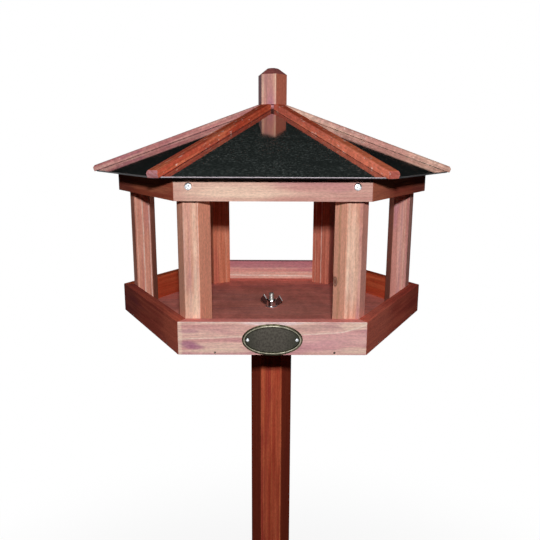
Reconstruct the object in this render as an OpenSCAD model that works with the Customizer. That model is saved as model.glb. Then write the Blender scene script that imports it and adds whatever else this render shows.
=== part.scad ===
// Hexagonal wooden bird table on a pole with a three-legged foot.
// Origin: on the ground, on the axis of the pole. +Z is up and the front of the table faces -Y.

/* [Tray] */
// Distance from the axis to an outer corner of the tray
tray_r = 230; // [210:1:280]
// Thickness of the tray boards
board_t = 14; // [10:0.5:18]
// Height of the tray boards
tray_h = 42; // [34:1:60]
// Thickness of the floor panel, let in between the boards
floor_t = 6; // [4:0.5:10]

/* [Posts] */
// Width and depth of the square stock that the posts are cut from
post_w = 33; // [26:1:40]
// Length of the posts, which stand on the floor
post_len = 219; // [180:1:280]

/* [Upper ring] */
// Thickness of the ring boards
ring_t = 14; // [10:0.5:18]
// Height of the ring boards at their inner face
ring_h = 44; // [34:1:60]

/* [Roof] */
// Slope of the roof panels, in degrees
roof_pitch = 22.5; // [16:0.5:32]
// Thickness of the sheet that the roof panels are cut from
panel_t = 2.2; // [1.5:0.1:5]
// Distance that the panels reach out past the ring, measured level
eave_out = 28; // [15:1:45]
// Width of the hip battens
batten_w = 16; // [12:1:22]
// Thickness of the hip battens above the hip line
batten_t = 7; // [5:0.5:12]
// Chamfer along the upper edges of the battens
batten_edge = 1.5; // [0.5:0.5:2.5]
// Depth of the groove that seats the battens on the ridges: their sides stand clear of the sheet
batten_bite = 1.2; // [0.2:0.1:1.4]
// Slanted cut at the lower end of the battens
batten_nose = 3; // [1:0.5:4]
// Distance that the battens reach past the roof corners
batten_out = 1; // [0:1:10]
// Gap between the pointed upper ends of two battens
batten_gap = 4; // [0:0.5:6]

/* [Finial] */
// Width of the finial across its corners
finial_w = 43; // [36:1:56]
// Height of the finial above the battens
finial_h = 51.5; // [40:0.5:80]
// Slope of the six faces of its top, in degrees
finial_pitch = 39; // [20:1:45]
// Height that the rounding takes off the tip
finial_blunt = 5; // [1:0.5:7]
// Turn of the finial about its axis, in degrees: at 0 it has a flat side to the right
finial_turn = 13; // [0:1:59]
// Diameter of the round spigot under the finial
spigot_d = 18; // [12:1:22]
// Length of the spigot
spigot_len = 34; // [26:1:40]
// Width across corners of the king block that holds the panel tips
king_w = 84; // [64:1:110]
// Height of the king block at its outer faces
king_h = 24; // [18:1:40]

/* [Pole and foot] */
// Width of the pole across its corners
pole_w = 64; // [54:1:72]
// Length of the pole, from the ground to the tray
pole_len = 1150; // [900:10:1400]
// Width of the foot rails and braces
foot_w = 28; // [20:1:30]
// Height of the foot rails
rail_h = 42; // [34:1:60]
// Length of the foot rails, from the pole outwards
rail_len = 330; // [280:5:420]
// Height that the rails clear the ground between the pole and their pads
rail_relief = 6; // [2:1:12]
// Length of the pad under the outer end of each rail
pad_len = 60; // [40:5:90]
// Slanted cut on the upper outer end of each rail
rail_nose = 16; // [6:1:24]
// Distance that each brace reaches up the pole and out along its rail
brace_run = 190; // [150:5:230]
// Depth of the brace timber, square to its length
brace_t = 30; // [20:1:40]

/* [Clamp] */
// Diameter of the threaded stud
stud_d = 8; // [5:0.5:10]
// Length of the stud above the floor panel
stud_up = 22; // [20:1:28]
// Depth of the stud in the pole
stud_down = 55; // [35:5:80]
// Diameter of the washer
washer_d = 19; // [16:1:30]
// Thickness of the washer
washer_t = 1.6; // [1:0.1:3]
// Width of the wing nut over its wings
nut_w = 37; // [32:1:46]
// Height of the wing nut
nut_h = 17; // [15:0.5:22]
// Diameter of the boss of the wing nut
boss_d = 16.5; // [12:0.5:18]
// Height of the boss
boss_h = 9; // [6:0.5:12]
// Width of the flat end of each wing
wing_w = 10; // [6:0.5:12]
// Lean of that end, in degrees from upright
wing_lean = 34; // [20:1:50]
// Thickness of the wings
wing_t = 2.8; // [2:0.1:4]
// Turn of the wings about the stud, in degrees
nut_turn = 158; // [0:1:180]

/* [Name plate] */
// Width of the oval plate
plate_w = 74; // [50:1:90]
// Height of the oval plate
plate_h = 40; // [26:1:44]
// Thickness of the plate inside its rim
plate_t = 1; // [0.8:0.1:2]
// Width of the raised rim
rim_w = 2.6; // [1.5:0.1:4]
// Height of the raised rim above the plate
rim_h = 0.8; // [0.4:0.1:1.5]
// Distance that the centre of the plate lies below the middle of the board
plate_drop = 1.5; // [0:0.5:3]
// Distance between the two pins of the plate
pin_gap = 60; // [36:1:64]
// Diameter of the heads of the pins
pin_d = 4.4; // [2:0.2:6]

/* [Hidden] */
SIDES = 6;
LEGS = 3;
$fn = 64;
EPS = 0.01;
// Play round the stud and round the spigot
fit = 0.3;

// Levels above the ground
tray_z = pole_len;
floor_z = tray_z + floor_t;
post_top = floor_z + post_len;

// Distances of the flat sides from the axis
side_a = tray_r * cos(30);
inner_a = side_a - board_t;
inner_r = inner_a / cos(30);
ring_a = inner_a + ring_t;
eave_a = ring_a + eave_out;
pole_a = pole_w / 2 * cos(30);

// Roof planes: the lower face of the panels passes through the outer top edge of the ring,
// which is level with the post tops
slope = tan(roof_pitch);
apex_under = post_top + ring_a * slope;
apex_top = apex_under + panel_t / cos(roof_pitch);
hip_slope = slope * cos(30);
hip_angle = atan(hip_slope);
ring_top_in = post_top + ring_t * slope;
ring_z = ring_top_in - ring_h;

// Battens run down the hips and are trimmed level under the finial
corner_r = eave_a / cos(30);
batten_len = (corner_r + batten_out) / cos(hip_angle);
seat_z = apex_top + batten_t / cos(hip_angle) - finial_w / 2 * hip_slope;
tip_a = spigot_d / 2 + fit;

// King block, right under the panels
king_a = king_w / 2 * cos(30);
king_z = apex_under - king_a * slope - king_h;

// The tip of the finial is rounded by a ball that just clears its lower corners
finial_a = finial_w / 2 * cos(30);
tip_r = (pow(finial_w / 2, 2) + pow(finial_h, 2)) / (2 * finial_h) + fit;

leg_turns = [90, 210, 330];
reach = corner_r + batten_out + board_t;
top_z = seat_z + finial_h;

function numbered(name, count) = [for (i = [1:count]) str(name, i)];

// Turn of side i and of corner i about the axis: side 1 faces the front,
// and corner 1 lies at its left end
function side_turn(i) = 60 * i - 150;
function corner_turn(i) = 60 * i - 180;

// Upright prism that covers 30 degrees to each side of +X, from tip_a outwards, up to level top
module wedge(top) {
    half = tan(30);
    linear_extrude(height = top)
        polygon([
            [tip_a, -tip_a * half],
            [reach, -reach * half],
            [reach, reach * half],
            [tip_a, tip_a * half]
        ]);
}

// Profile of [distance from the axis, height] points, drawn out to width w across +X
module drawn(profile, w) {
    rotate([90, 0, 0])
        linear_extrude(height = w, center = true)
            polygon(profile);
}

// The same along one side of the hexagon, mitred to its neighbours
module mitred(i, profile) {
    rotate([0, 0, side_turn(i)])
        intersection() {
            drawn(profile, 2 * reach);
            wedge(top_z);
        }
}

// Six-sided block with its flat sides at distance a from the axis. It rises from level base to
// six planes that meet on the axis at level apex and drop by fall for each millimetre outwards
module hipped_block(apex, fall, a, base) {
    brow = apex - a * fall;
    gable = [[-a, base], [a, base], [a, brow], [0, apex], [-a, brow]];
    intersection() {
        drawn(gable, 4 * a);
        rotate([0, 0, 60]) drawn(gable, 4 * a);
        rotate([0, 0, 120]) drawn(gable, 4 * a);
    }
}

// The same under the roof planes
module roof_block(apex, a, base) {
    hipped_block(apex, slope, a, base);
}

module tray_board(i) {
    color("#b5705a")
        mitred(i, [
            [inner_a, tray_z],
            [side_a, tray_z],
            [side_a, tray_z + tray_h],
            [inner_a, tray_z + tray_h]
        ]);
}

module tray_floor() {
    color("#73402f")
        translate([0, 0, tray_z])
            difference() {
                cylinder(r = inner_r, h = floor_t, $fn = SIDES);
                translate([0, 0, -EPS])
                    cylinder(d = stud_d + 2 * fit, h = floor_t + 2 * EPS);
            }
}

// Square stock with its two outer corners bevelled to lie against two boards of the frame
module post(i) {
    half = post_w / 2;
    shoulder = inner_r - half * tan(30);
    color("#c98d78")
        rotate([0, 0, corner_turn(i)])
            translate([0, 0, floor_z])
                linear_extrude(height = post_len)
                    polygon([
                        [inner_r - post_w, -half],
                        [shoulder, -half],
                        [inner_r, 0],
                        [shoulder, half],
                        [inner_r - post_w, half]
                    ]);
}

// Board of the upper ring, bevelled on top to the slope of the roof
module ring_board(i) {
    color("#c08068")
        mitred(i, [
            [inner_a, ring_z],
            [ring_a, ring_z],
            [ring_a, post_top],
            [inner_a, ring_top_in]
        ]);
}

// Panel with its lower edge cut square to its faces
module roof_panel(i) {
    edge = [panel_t * sin(roof_pitch), panel_t * cos(roof_pitch)];
    brow = [eave_a - edge[0], apex_top - eave_a * slope - edge[1]];
    color("#1d2624")
        mitred(i, [
            [0, apex_under],
            brow,
            brow + edge,
            [0, apex_top]
        ]);
}

// Batten down a hip: a shallow V in its underside sits on the ridge of two panels,
// and its upper end is pointed to 60 degrees and trimmed level under the finial
module hip_batten(i) {
    half = batten_w / 2;
    color("#b0583c")
        rotate([0, 0, corner_turn(i)])
            difference() {
                intersection() {
                    translate([0, 0, apex_top])
                        rotate([0, hip_angle, 0])
                            intersection() {
                                drawn([
                                    [-batten_t, -batten_bite],
                                    [batten_len, -batten_bite],
                                    [batten_len, batten_t - batten_nose],
                                    [batten_len - batten_nose, batten_t],
                                    [-batten_t, batten_t]
                                ], batten_w);
                                translate([-batten_t, 0, 0])
                                    rotate([90, 0, 90])
                                        linear_extrude(height = batten_len + batten_t)
                                            polygon([
                                                [-half, -batten_bite],
                                                [half, -batten_bite],
                                                [half, batten_t - batten_edge],
                                                [half - batten_edge, batten_t],
                                                [batten_edge - half, batten_t],
                                                [-half, batten_t - batten_edge]
                                            ]);
                            }
                    translate([batten_gap, 0, 0]) wedge(seat_z);
                }
                roof_block(apex_top, reach, tray_z);
            }
}

// Block under the apex that the panel tips and battens are nailed to
module king_block() {
    color("#b5705a")
        difference() {
            roof_block(apex_under, king_a, king_z);
            translate([0, 0, king_z - EPS])
                cylinder(d = spigot_d + 2 * fit, h = apex_under - king_z + 2 * EPS);
        }
}

// Hexagonal top with a blunt pyramid as its end and a round spigot below
module finial() {
    color("#bf8070")
        translate([0, 0, seat_z])
            union() {
                intersection() {
                    rotate([0, 0, finial_turn])
                        hipped_block(finial_h + finial_blunt, tan(finial_pitch), finial_a, 0);
                    translate([0, 0, finial_h - tip_r])
                        sphere(r = tip_r);
                }
                translate([0, 0, -spigot_len])
                    cylinder(d = spigot_d, h = spigot_len + finial_h / 2);
            }
}

module pole() {
    color("#8a3c2a")
        difference() {
            cylinder(d = pole_w, h = pole_len, $fn = SIDES);
            translate([0, 0, pole_len - stud_down])
                cylinder(d = stud_d + 2 * fit, h = stud_down + EPS);
        }
}

// Rail that stands on a pad at its outer end and on the pole's end at its inner one
module foot_rail(i) {
    far = pole_a + rail_len;
    color("#96493a")
        rotate([0, 0, leg_turns[i - 1]])
            drawn([
                [pole_a, rail_relief],
                [far - pad_len - rail_relief, rail_relief],
                [far - pad_len, 0],
                [far, 0],
                [far, rail_h - rail_nose],
                [far - rail_nose, rail_h],
                [pole_a, rail_h]
            ], foot_w);
}

// Brace at 45 degrees between a rail and a flat of the pole
module foot_brace(i) {
    cut = brace_t / cos(45);
    color("#96493a")
        rotate([0, 0, leg_turns[i - 1]])
            drawn([
                [pole_a, rail_h + brace_run - cut],
                [pole_a + brace_run - cut, rail_h],
                [pole_a + brace_run, rail_h],
                [pole_a, rail_h + brace_run]
            ], foot_w);
}

module stud() {
    color("silver")
        translate([0, 0, floor_z - floor_t - stud_down])
            cylinder(d = stud_d, h = stud_down + floor_t + stud_up);
}

module washer() {
    color("silver")
        translate([0, 0, floor_z])
            difference() {
                cylinder(d = washer_d, h = washer_t);
                translate([0, 0, -EPS])
                    cylinder(d = stud_d + 2 * fit, h = washer_t + 2 * EPS);
            }
}

// Outline of one wing: a tab that rises outwards from the boss to a leaning flat end
module wing_outline() {
    root = boss_d / 3;
    crest = boss_d / 2 - 1.5;
    heel = boss_d / 2 + 1;
    end = [nut_w / 2, nut_h - wing_w * cos(wing_lean)];
    polygon([
        [root, 1],
        [heel, 1],
        end,
        end + wing_w * [-sin(wing_lean), cos(wing_lean)],
        [crest, boss_h - 1]
    ]);
}

module wing_nut() {
    color("silver")
        translate([0, 0, floor_z + washer_t])
            rotate([0, 0, nut_turn])
                difference() {
                    union() {
                        cylinder(d1 = boss_d, d2 = boss_d - 2, h = boss_h);
                        for (turn = [0, 180])
                            rotate([0, 0, turn])
                                rotate([90, 0, 0])
                                    linear_extrude(height = wing_t, center = true)
                                        wing_outline();
                    }
                    translate([0, 0, -EPS])
                        cylinder(d = stud_d + fit, h = nut_h);
                }
}

// Oval of the given width and height, as a flat outline
module oval(w, h) {
    polygon([for (a = [0:6:354]) [w / 2 * cos(a), h / 2 * sin(a)]]);
}

// Frame of the plate: on the front board, with +Z pointing out of it
module on_front_board() {
    translate([0, -side_a, tray_z + tray_h / 2 - plate_drop])
        rotate([90, 0, 0])
            children();
}

module name_plate() {
    color("#4b4436")
        on_front_board()
            union() {
                linear_extrude(height = plate_t) oval(plate_w, plate_h);
                linear_extrude(height = plate_t + rim_h)
                    difference() {
                        oval(plate_w, plate_h);
                        oval(plate_w - 2 * rim_w, plate_h - 2 * rim_w);
                    }
            }
}

module plate_pins() {
    color("silver")
        on_front_board()
            for (x = [-pin_gap / 2, pin_gap / 2])
                translate([x, 0, plate_t])
                    cylinder(d1 = pin_d, d2 = pin_d / 2, h = pin_d / 4);
}

for (i = [1:SIDES]) {
    tray_board(i);
    post(i);
    ring_board(i);
    roof_panel(i);
    hip_batten(i);
}
for (i = [1:LEGS]) {
    foot_rail(i);
    foot_brace(i);
}
tray_floor();
king_block();
finial();
pole();
stud();
washer();
wing_nut();
name_plate();
plate_pins();
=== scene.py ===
# Looks of the hexagonal wooden bird table, dressed over its CAD frame.
# Lengths are in metres in the row frame: the origin is on the ground on the axis of the pole,
# +Z is up and the front of the table faces -Y. The solids keep their shape and get a finish.
# The pieces made here are the small hardware that the solids leave plain.
from collections import namedtuple
from math import atan, cos, pi, radians, sin, tan, tau

import bmesh
import bpy
from mathutils import Matrix, Quaternion, Vector


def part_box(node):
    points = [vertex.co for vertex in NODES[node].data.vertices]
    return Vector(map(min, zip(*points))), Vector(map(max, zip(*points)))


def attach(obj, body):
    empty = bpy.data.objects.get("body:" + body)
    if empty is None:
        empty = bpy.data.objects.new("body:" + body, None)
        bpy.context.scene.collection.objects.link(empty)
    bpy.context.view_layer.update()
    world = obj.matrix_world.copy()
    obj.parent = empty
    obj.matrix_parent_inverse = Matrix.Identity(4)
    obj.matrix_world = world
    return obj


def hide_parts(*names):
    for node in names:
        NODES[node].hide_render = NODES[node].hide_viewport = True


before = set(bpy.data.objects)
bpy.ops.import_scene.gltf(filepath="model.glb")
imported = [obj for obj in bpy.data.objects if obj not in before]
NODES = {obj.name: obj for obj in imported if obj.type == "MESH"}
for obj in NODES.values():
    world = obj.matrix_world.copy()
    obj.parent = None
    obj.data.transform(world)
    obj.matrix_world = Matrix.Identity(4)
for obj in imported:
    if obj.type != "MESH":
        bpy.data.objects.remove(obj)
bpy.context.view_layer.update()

SCENE = bpy.context.scene
UP = Vector((0, 0, 1))
SIDES = 6
LEGS = 3
# Azimuth of the front, and the turns from side to side and from leg to leg, in degrees
FRONT = -90
SIDE_STEP = 360 // SIDES
LEG_STEP = 360 // LEGS

# Distances and levels of the frame that the camera, the grain and the hardware are placed by
board_low, board_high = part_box("tray_board_1")
ring_low, ring_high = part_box("ring_board_1")
panel_low, panel_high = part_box("roof_panel_1")
stud_low, stud_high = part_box("stud")
plate_low, plate_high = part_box("name_plate")
SIDE_A = -board_low.y
INNER_A = -board_high.y
TRAY_Z = board_low.z
TRAY_MID = (board_low.z + board_high.z) / 2
RING_A = -ring_low.y
RING_Z = ring_low.z
RING_MID = (ring_low.z + ring_high.z) / 2
INNER_HALF = INNER_A * tan(pi / SIDES)
INNER_R = INNER_A / cos(pi / SIDES)
APEX_Z = panel_high.z
# Slopes of the panels and of the hips between them
ROOF_SLOPE = radians(22.5)
HIP_SLOPE = atan(tan(ROOF_SLOPE) * cos(pi / SIDES))


def side_turn(i):
    """Azimuth that side i faces: side 1 is the front."""
    return radians(FRONT + SIDE_STEP * (i - 1))


def corner_turn(i):
    """Azimuth of corner i: corner 1 is at the left end of side 1."""
    return radians(FRONT + SIDE_STEP * (i - 1.5))


def leg_turn(i):
    """Azimuth of leg i of the foot: leg 1 is at the back."""
    return radians(LEG_STEP * (i - 1) - FRONT)


def outward(turn):
    """Level direction with the azimuth turn."""
    return Vector((cos(turn), sin(turn), 0))


def sideways(turn):
    """Level direction square to outward(turn)."""
    return Vector((-sin(turn), cos(turn), 0))


def tone(text):
    """Linear colour of a six-digit sRGB one, with alpha."""
    values = [int(text[k:k + 2], 16) / 255 for k in (0, 2, 4)]
    return (*[v / 12.92 if v < 0.04045 else ((v + 0.055) / 1.055) ** 2.4 for v in values], 1)


# ---------------------------------------------------------------- shader graphs

# Phase that the wave texture runs through in one unit at a scale of 1
WAVE_PHASE = 20
# Levels between which most of a noise lies
MID_SPAN = (0.3, 0.7)


class Graph:
    """Adds nodes to one shader tree and links them."""

    def __init__(self, tree):
        self.tree = tree
        tree.nodes.clear()

    def put(self, socket, value):
        if isinstance(value, bpy.types.NodeSocket):
            self.tree.links.new(value, socket)
        else:
            socket.default_value = value

    def add(self, kind, settings=(), **sockets):
        node = self.tree.nodes.new("ShaderNode" + kind)
        for key, value in dict(settings).items():
            setattr(node, key, value)
        for name, value in sockets.items():
            self.put(node.inputs[name.replace("_", " ")], value)
        return node

    def math(self, operation, *values, clamp=False):
        node = self.add("Math", {"operation": operation, "use_clamp": clamp})
        for socket, value in zip(node.inputs, values):
            self.put(socket, value)
        return node.outputs[0]

    def vector(self, operation, a, b):
        node = self.add("VectorMath", {"operation": operation})
        self.put(node.inputs[0], a)
        self.put(node.inputs[1], b)
        return node.outputs["Value" if operation in ("LENGTH", "DOT_PRODUCT") else "Vector"]

    def mix(self, factor, a, b, blend="MIX"):
        node = self.add("Mix", {"data_type": "RGBA", "blend_type": blend})
        self.put(node.inputs[0], factor)
        self.put(node.inputs[6], a)
        self.put(node.inputs[7], b)
        return node.outputs[2]

    def fade(self, value, start, end, low=0.0, high=1.0):
        """Smooth step of value from low at start to high at end."""
        node = self.add(
            "MapRange", {"interpolation_type": "SMOOTHSTEP"},
            Value=value, From_Min=start, From_Max=end, To_Min=low, To_Max=high,
        )
        return node.outputs["Result"]

    def scaled(self, place, *shares):
        return self.vector("MULTIPLY", place, shares)

    def noise(self, place, gap, detail=2.0, roughness=0.5):
        """Noise whose spots lie about gap apart."""
        node = self.add(
            "TexNoise", Vector=place, Scale=1 / gap, Detail=detail, Roughness=roughness,
        )
        return node.outputs[0]

    def grain_noise(self, place, draw, gap, detail=2.0, roughness=0.5):
        """Noise drawn out along X, where its spots lie gap / draw apart."""
        return self.noise(self.scaled(place, draw, 1, 1), gap, detail, roughness)

    def wave(self, place, settings, gap, distortion, detail_scale):
        """Wave texture whose crests lie gap apart."""
        node = self.add(
            "TexWave", settings, Vector=place, Scale=tau / WAVE_PHASE / gap,
            Distortion=distortion, Detail=2.0, Detail_Scale=detail_scale, Detail_Roughness=0.5,
        )
        return node.outputs["Fac"]

    def split(self, vector):
        node = self.add("SeparateXYZ", Vector=vector)
        return node.outputs["X"], node.outputs["Y"], node.outputs["Z"]

    def length(self, vector):
        return self.vector("LENGTH", vector, (0, 0, 0))

    def face_normal(self):
        return self.add("NewGeometry").outputs["True Normal"]

    def object_place(self):
        return self.add("TexCoord").outputs["Object"]

    def bump(self, height, strength, distance):
        node = self.add("Bump", Height=height, Strength=strength, Distance=distance)
        return node.outputs["Normal"]

    def surface(self, shader):
        output = self.add("OutputMaterial")
        self.tree.links.new(shader, output.inputs["Surface"])


def new_material(name):
    material = bpy.data.materials.new(name)
    material.use_nodes = True
    return material, Graph(material.node_tree)


# ---------------------------------------------------------------- timber

# Tones of one piece of cedar: its late wood, its body, its pale wood, its blush, its end grain
Tones = namedtuple("Tones", "late body pale blush end")
# A line along the grain: how far across the piece it lies, its half width, tone and strength,
# its slope, and how strongly it bends once it is past bend_from
Streak = namedtuple(
    "Streak", "across half tone strength rise bend bend_from", defaults=(0.0, 0.0, 0.0),
)
# A blot: its place along and across, its reach both ways, its tone, strength and softness
Patch = namedtuple("Patch", "along across long wide tone strength soft", defaults=(0.35,))


def tones(*texts):
    return Tones(*[tone(text) for text in texts])


FRONT_TONES = tones("ba7673", "dda49f", "f1c7b8", "cb8c97", "b06a58")
RING_TONES = tones("be847a", "d5a093", "e6baa9", "ce9494", "b06a58")
SIDE_TONES = tones("8a3a31", "b25346", "c86752", "9c494b", "8c4236")
LIT_SIDE_TONES = tones("9b413b", "c65b4c", "df715a", "ad5152", "8c4236")
RING_SIDE_TONES = tones("9f4837", "ca664c", "de8060", "b65546", "8c4236")
INNER_TONES = tones("933522", "bb4d31", "d06642", "a44037", "a05040")
BACK_TONES = tones("b36c67", "e09d96", "f6c7b6", "cc828c", "a86458")
POST_TONES = tones("ba735d", "dda089", "eeb7a0", "d0968f", "b87060")
SIDE_POST_TONES = tones("aa5b4d", "d8907c", "edad96", "ca8487", "a86054")
PINK_POST_TONES = tones("aa5f57", "d8968a", "edb5a7", "ca8a96", "a86058")
LEFT_POST_TONES = tones("a6523a", "da8063", "ea9475", "cc6d5d", "a85a48")
REAR_POST_TONES = tones("9b4b3a", "ca735f", "db8770", "be6357", "a85a48")
FINIAL_TONES = tones("b2786c", "dea094", "f2baa6", "d8999c", "ae605f")
HIP_TONES = tones("a2412a", "d46048", "f08c64", "c35243", "cc8f94")
RUST_HIP_TONES = tones("b25238", "de6442", "f67e56", "d45a42", "d47468")
PINK_HIP_TONES = tones("a25961", "cb8482", "e8b0a4", "b26c80", "a86c68")
PALE_HIP_TONES = tones("c08074", "ecb6a4", "fad4c0", "d89a92", "a86c60")
POLE_TONES = tones("8f3223", "bc4d37", "d06446", "ac4138", "8c4436")
FLOOR_TONES = tones("ca7668", "de867a", "e69082", "d2807a", "b06050")
# Tones of single streaks, patches and faces
CREAM = tone("ffe2c8")
SAP_WHITE = tone("fff0e4")
TOP_HIGHLIGHT_MILK = tone("fae6ea")
MAUVE = tone("b0708c")
RIGHT_FLANK_RED = tone("c6725c")
DUSK = tone("ba9296")
AMBER = tone("e88c58")
KNOT = tone("6a3a30")
POLE_FLANK_SHADE = tone("8c3828")
PEACH = tone("f8b094")
# Painted shade on the faces of the front board that look up
BOARD_TOP_SHADE = tone("f48c84")
FLOOR_RED = tone("c0665a")
ASH = tone("bc8a7c")
TAUPE = tone("c09890")
ROSE = tone("ecb2b4")
PLUM = tone("c07c88")
SHELL = tone("f0bca8")
DIM_PINK = tone("c08480")
SALMON = tone("e07c68")
CORAL = tone("ec8e70")
BRICK = tone("d87058")
DEEP_RED = tone("8c3c34")
WINE = tone("7a4244")
GRAPE = tone("7a4448")
APRICOT = tone("ee9e82")
PALE_APRICOT = tone("f8b69a")
WARM_PINK = tone("ffb2a2")
TAN = tone("c89a74")
UMBER_FACET_SHADE = tone("9c6656")
CLAY = tone("a04a38")
BURNT_CLAY = tone("a04a30")
CHERRY = tone("b85a64")
VERMILION = tone("b83c24")
LIT_RUST = tone("f88c66")
RUST_EDGE_HIGHLIGHT = tone("e28a7a")
DRAB = tone("b08a7c")
ORCHID = tone("d090a4")

# Gaps across the grain between the spots of each layer of the figure
FIBRE_GAP = 0.0011
PORE_GAP = 0.0017
PALE_SPOT_GAP = 0.0030
RING_GAP = 0.0042
RAGGED_GAP = 0.006
BAND_GAP = 0.0065
DRIFT_GAP = 0.024
WANDER_GAP = 0.030

# Shares by which the layers are drawn out along the grain: the lower, the longer
FIBRE_DRAW = 0.03
BAND_DRAW = 0.035
RING_DRAW = 0.05
DRIFT_DRAW = 0.16
RAGGED_DRAW = 0.35
PORE_DRAW = 0.4
PALE_SPOT_DRAW = 0.45

# Levels between which each layer fades in or out. The clouds have those of the pores.
PALE_SPAN = (0.4, 0.64)
BLUSH_SPAN = (0.5, 0.64)
LATE_SPAN = (0.34, 0.46)
PALE_SPOT_SPAN = (0.64, 0.7)
PORE_SPAN = (0.32, 0.68)
END_SPAN = (0.58, 0.7)
# Upward parts of the normal over which the painted shade of faces that look up sets in
TOP_SHADE_SPAN = (0.8, 0.95)

# Strengths of the layers, and the levels that fibres and pores vary the tone between
BLUSH = 0.75
LATE_DRIFT = 0.3
END_RINGS = 0.6
# Strength of that painted shade
TOP_SHADE = 0.85
FIBRE_LEVELS = (0.9, 1.07)
PORE_LEVELS = (0.88, 1.11)
SAWN_ROUGHNESS = (0.5, 0.72)
# How the rings are warped and how sharply they end, and what fibres and rings stand out by
RING_WARP = (1.8, 0.35)
RING_POWER = 2.5
FIBRE_RELIEF = 0.6
RING_RELIEF = -0.4
RELIEF = 0.3
RELIEF_DEPTH = 0.0003

# How far streaks wander across, how they come and go, and how far each one's fading is moved
WANDER = 0.0022
STREAK_DRAW = 0.02
STREAK_SPAN = (0.3, 0.6)
STREAK_LOW = 0.35
STREAK_MOVE = 0.7
NEXT_MOVE = 0.31
RAGGEDNESS = 2.2
# Shape of a knot along, across and through the piece, where it ends in radii and its strength,
# then where its pale rim lies, how wide and how strong that is
KNOT_SHAPE = (0.5, 1, 0.6)
KNOT_SPAN = (0.7, 1.15)
KNOT_STRENGTH = 0.75
RIM_PLACE = 0.55
RIM_WIDTH = 0.2
RIM_STRENGTH = 0.25


def board_coordinates(graph, grain, across, centre):
    """Coordinates from the centre of a piece, with X along its grain and Y across its face."""
    grain, across = grain.normalized(), across.normalized()
    turn = Matrix((grain, across, grain.cross(across)))
    node = graph.add(
        "Mapping", Vector=graph.object_place(),
        Location=-(turn @ centre), Rotation=turn.to_euler(),
    )
    return node.outputs["Vector"]


def add_streaks(graph, colour, level, streaks):
    """Lays the streaks over the colour. They wander a little and come and go."""
    along, across, _ = graph.split(level)
    drawn = graph.scaled(level, 1, STREAK_DRAW, STREAK_DRAW)
    wander = graph.math("SUBTRACT", graph.noise(drawn, WANDER_GAP, 3), 0.5)
    across = graph.math("MULTIPLY_ADD", wander, WANDER, across)
    for k, streak in enumerate(streaks):
        past = graph.math("MAXIMUM", graph.math("SUBTRACT", along, streak.bend_from), 0.0)
        curve = graph.math("MULTIPLY_ADD", along, streak.rise, streak.across)
        curve = graph.math(
            "MULTIPLY_ADD", graph.math("MULTIPLY", past, past), streak.bend, curve,
        )
        away = graph.math("ABSOLUTE", graph.math("SUBTRACT", across, curve))
        moved = graph.vector("ADD", drawn, (STREAK_MOVE + NEXT_MOVE * k, 0, 0))
        fading = graph.noise(moved, WANDER_GAP, 3)
        fading = graph.fade(fading, *STREAK_SPAN, STREAK_LOW, 1.0)
        mask = graph.math("MULTIPLY", graph.fade(away, 0.0, streak.half, 1.0, 0.0), fading)
        colour = graph.mix(graph.math("MULTIPLY", mask, streak.strength), colour, streak.tone)
    return colour


def add_patches(graph, colour, level, patches):
    """Lays the patches over the colour, with ragged edges drawn out along the grain."""
    ragged = graph.grain_noise(level, RAGGED_DRAW, RAGGED_GAP, 3, 0.6)
    ragged = graph.math("SUBTRACT", ragged, 0.5)
    for patch in patches:
        offset = graph.vector("SUBTRACT", level, (patch.along, patch.across, 0))
        offset = graph.scaled(offset, 1 / patch.long, 1 / patch.wide, 0)
        near = graph.math(
            "MULTIPLY_ADD", ragged, RAGGEDNESS * patch.soft, graph.length(offset),
        )
        mask = graph.fade(near, 1 - patch.soft, 1 + patch.soft, patch.strength, 0.0)
        colour = graph.mix(mask, colour, patch.tone)
    return colour


def add_knots(graph, colour, level, knots):
    """Lays on the knots, each given as its place along, across and through, and its radius."""
    for *spot, radius in knots:
        offset = graph.vector("SUBTRACT", level, spot)
        near = graph.length(graph.scaled(offset, *[share / radius for share in KNOT_SHAPE]))
        colour = graph.mix(graph.fade(near, *KNOT_SPAN, KNOT_STRENGTH, 0.0), colour, KNOT)
        rim = graph.math("ABSOLUTE", graph.math("SUBTRACT", near, RIM_PLACE))
        colour = graph.mix(graph.fade(rim, 0.0, RIM_WIDTH, RIM_STRENGTH, 0.0), colour, CREAM)
    return colour


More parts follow.
